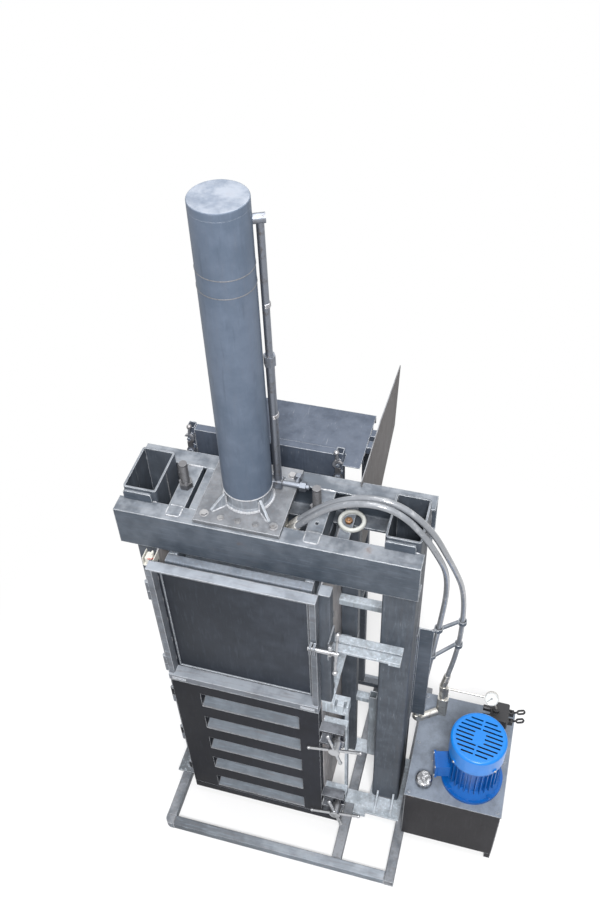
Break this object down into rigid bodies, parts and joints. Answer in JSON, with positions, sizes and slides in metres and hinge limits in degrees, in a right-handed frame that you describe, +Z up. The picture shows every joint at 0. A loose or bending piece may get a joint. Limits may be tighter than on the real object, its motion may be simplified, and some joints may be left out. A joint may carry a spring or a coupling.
{
  "type": "vertical recycling baler",
  "caption": "Two-column vertical baling press with a tall hydraulic cylinder, framed chamber doors, capstan clamps, rear feed table and a separate oil power pack.",
  "frame": {"origin": "on the floor, on the axis of the ram", "axes": "+Z up, +X to the right seen from the door side, +Y from the doors to the feed table"},
  "size_m": [1.7691, 1.483, 3.535],
  "materials": {
    "frame_paint": "graphite grey paint over rolled steel, worn",
    "chamber_sheet": "grey paint, rubbed and rusty inside",
    "door_paint": "dark graphite paint",
    "cylinder_paint": "semi-gloss blue-grey paint",
    "bolt_steel": "zinc plated and lightly rusted",
    "rod_chrome": "hard chrome",
    "platen_paint": "worn paint",
    "clamp_steel": "bare steel, handled bright",
    "panel_paint": "light blue-grey paint",
    "wing_paint": "brownish grey primer",
    "tank_paint": "dark grey paint",
    "motor_blue": "gloss blue paint",
    "fan_plastic": "black plastic on a steel shaft",
    "breather_chrome": "bright plated",
    "cast_black": "black castings",
    "gauge_case": "plated case with a white dial",
    "needle_black": "black",
    "manifold_grey": "grey casting",
    "hose_grey": "grey outer braid",
    "switch_white": "white housing in a steel bracket"
  },
  "bodies": {
    "frame": {"base_rails_side": "frame_paint", "base_rails_end": "frame_paint", "foot_plates": "frame_paint", "column_left": "frame_paint", "column_right": "frame_paint", "beam_front": "frame_paint", "beam_rear": "frame_paint", "bearers": "frame_paint", "sill_beam": "frame_paint", "door_posts": "frame_paint", "side_rails": "frame_paint", "tie_bars": "frame_paint", "hose_bracket": "frame_paint", "hopper_legs": "frame_paint", "wall_left": "chamber_sheet", "wall_right": "chamber_sheet", "wall_rear": "chamber_sheet", "chamber_floor": "chamber_sheet", "hinge_fixed": "door_paint", "cylinder_barrel": "cylinder_paint", "gland_neck": "cylinder_paint", "flange_plate": "cylinder_paint", "return_pipe": "cylinder_paint", "flange_bolts": "bolt_steel", "tie_studs": "bolt_steel", "hose_ports": "bolt_steel", "clamp_anchors": "clamp_steel", "latch_keeper": "clamp_steel", "rear_panel": "panel_paint", "feed_table": "panel_paint", "wing_plate": "wing_paint", "tank_body": "tank_paint", "tank_lid": "tank_paint", "motor_body": "motor_blue", "fan_cover": "motor_blue", "valve_block": "cast_black", "pressure_gauge": "gauge_case", "oil_manifold": "manifold_grey", "pump_unit": "manifold_grey", "hoses": "hose_grey", "limit_switch": "switch_white"},
    "ram": {"platen": "platen_paint", "ram_rod": "rod_chrome"},
    "upper_door": {"upper_door_frame": "door_paint", "upper_door_skin": "door_paint"},
    "upper_latch": {"upper_latch": "clamp_steel"},
    "lower_door": {"lower_door_plate": "door_paint", "lower_door_shelves": "door_paint"},
    "clamp_collar_upper": {"clamp_collar_upper": "clamp_steel"},
    "clamp_screw_upper": {"clamp_screw_upper": "clamp_steel"},
    "clamp_collar_lower": {"clamp_collar_lower": "clamp_steel"},
    "clamp_screw_lower": {"clamp_screw_lower": "clamp_steel"},
    "hook_left": {"hook_left": "clamp_steel"},
    "hook_right": {"hook_right": "clamp_steel"},
    "valve_lever_left": {"valve_lever_left": "cast_black"},
    "valve_lever_right": {"valve_lever_right": "cast_black"},
    "motor_fan": {"motor_fan": "fan_plastic"},
    "gauge_needle": {"gauge_needle": "needle_black"},
    "breather_cap": {"breather_cap": "breather_chrome"},
    "switch_arm": {"switch_arm": "switch_white"}
  },
  "joints": [
    {"name": "ram_slide", "type": "slide", "parent": "frame", "child": "ram", "axis": [0, 0, -1], "range_m": [0, 1.1]},
    {"name": "upper_door_hinge", "type": "hinge", "parent": "frame", "child": "upper_door", "pos_m": [-0.3675, -0.2875, 1.57], "axis": [0, 0, -1], "range_deg": [0, 115]},
    {"name": "upper_latch_turn", "type": "hinge", "parent": "upper_door", "child": "upper_latch", "pos_m": [0.4, -0.3115, 1.695], "axis": [-1, 0, 0], "range_deg": [0, 70]},
    {"name": "lower_door_hinge", "type": "hinge", "parent": "frame", "child": "lower_door", "pos_m": [-0.3675, -0.2875, 0.63], "axis": [0, 0, -1], "range_deg": [0, 115]},
    {"name": "clamp_upper_advance", "type": "slide", "parent": "lower_door", "child": "clamp_collar_upper", "axis": [0, 1, 0], "range_m": [0, 0.024]},
    {"name": "clamp_upper_spin", "type": "hinge", "parent": "clamp_collar_upper", "child": "clamp_screw_upper", "pos_m": [0.425, -0.35, 0.935], "axis": [0, 1, 0], "range_deg": [0, 1440]},
    {"name": "clamp_lower_advance", "type": "slide", "parent": "lower_door", "child": "clamp_collar_lower", "axis": [0, 1, 0], "range_m": [0, 0.024]},
    {"name": "clamp_lower_spin", "type": "hinge", "parent": "clamp_collar_lower", "child": "clamp_screw_lower", "pos_m": [0.425, -0.35, 0.26], "axis": [0, 1, 0], "range_deg": [0, 1440]},
    {"name": "hook_left_swing", "type": "hinge", "parent": "frame", "child": "hook_left", "pos_m": [-0.327, 0.2205, 2.155], "axis": [0, 1, 0], "range_deg": [0, 60]},
    {"name": "hook_right_swing", "type": "hinge", "parent": "frame", "child": "hook_right", "pos_m": [0.306, 0.2205, 2.155], "axis": [0, -1, 0], "range_deg": [0, 60]},
    {"name": "valve_left_tilt", "type": "hinge", "parent": "frame", "child": "valve_lever_left", "pos_m": [1.202, 0.1895, 0.602], "axis": [0, 1, 0], "range_deg": [-15, 15], "stiffness_Nm_per_rad": 0.5},
    {"name": "valve_right_tilt", "type": "hinge", "parent": "frame", "child": "valve_lever_right", "pos_m": [1.202, 0.2375, 0.602], "axis": [0, 1, 0], "range_deg": [-15, 15], "stiffness_Nm_per_rad": 0.5},
    {"name": "motor_spin", "type": "hinge", "parent": "frame", "child": "motor_fan", "pos_m": [1.054, -0.0905, 0.8], "axis": [0, 0, 1], "continuous": true},
    {"name": "gauge_sweep", "type": "hinge", "parent": "frame", "child": "gauge_needle", "pos_m": [1.087, 0.2, 0.752], "axis": [0, 0.7193, -0.6947], "range_deg": [0, 270]},
    {"name": "breather_turn", "type": "hinge", "parent": "frame", "child": "breather_cap", "pos_m": [0.834, -0.1855, 0.52], "axis": [0, 0, 1], "range_deg": [0, 90]},
    {"name": "switch_arm_swing", "type": "hinge", "parent": "frame", "child": "switch_arm", "pos_m": [-0.355, -0.2235, 1.969], "axis": [-1, 0, 0], "range_deg": [0, 30], "stiffness_Nm_per_rad": 0.02}
  ],
  "couplings": [
    {"joint": "clamp_upper_advance", "follows": "clamp_upper_spin", "m_per_rad": 0.00095493},
    {"joint": "clamp_lower_advance", "follows": "clamp_lower_spin", "m_per_rad": 0.00095493}
  ]
}
